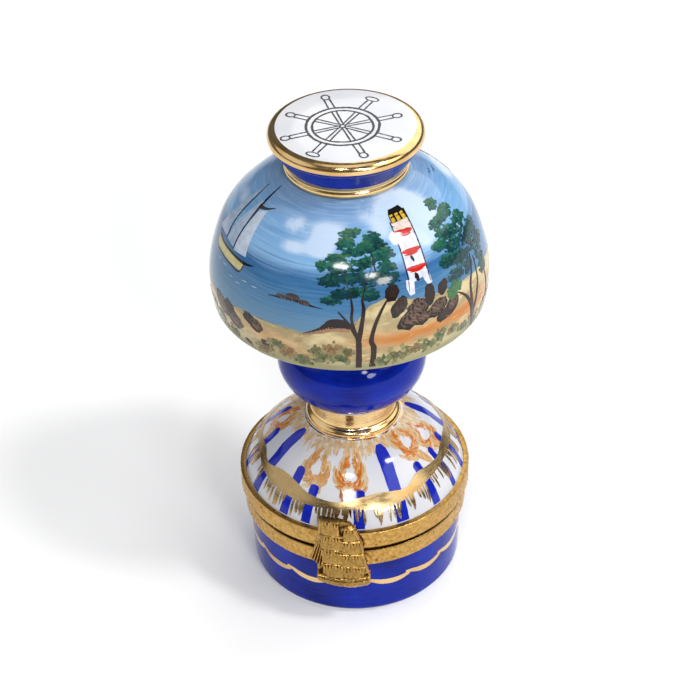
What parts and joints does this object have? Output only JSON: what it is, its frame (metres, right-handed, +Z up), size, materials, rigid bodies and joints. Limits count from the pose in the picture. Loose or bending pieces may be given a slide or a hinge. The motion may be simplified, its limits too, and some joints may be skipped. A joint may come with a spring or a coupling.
{
  "type": "hinged trinket box",
  "caption": "Porcelain trinket box shaped like an oil lamp, with a painted shade, a brass rim and a hinged lid held by a ship clasp.",
  "frame": {"origin": "centre of the foot on the surface that the box stands on", "axes": "+Z up along the lamp's axis, -Y towards the ship clasp at the front, hinge at +Y"},
  "size_m": [0.0526, 0.0526, 0.1007],
  "materials": {
    "cobalt_glaze": "high gloss glaze with fired gilding",
    "white_glaze": "high gloss glaze",
    "painted_glaze": "high gloss glaze over hand painting",
    "antique_brass": "antiqued, chased texture"
  },
  "bodies": {
    "box_base": {"bowl": "cobalt_glaze", "lower_bezel": "antique_brass", "catch_stud": "antique_brass", "base_knuckle_left": "antique_brass", "base_knuckle_middle": "antique_brass", "base_knuckle_right": "antique_brass", "hinge_pin": "antique_brass"},
    "lid": {"upper_bezel": "antique_brass", "lid_knuckle_left": "antique_brass", "lid_knuckle_right": "antique_brass", "lid_shoulder": "white_glaze", "font_globe": "cobalt_glaze", "chimney_stem": "white_glaze", "lamp_shade": "painted_glaze", "chimney_cap": "white_glaze", "ship_clasp": "antique_brass"}
  },
  "joints": [
    {"name": "lid_hinge", "type": "hinge", "parent": "box_base", "child": "lid", "pos_m": [0, 0.0246, 0.019], "axis": [-1, 0, 0], "range_deg": [0, 95]}
  ]
}
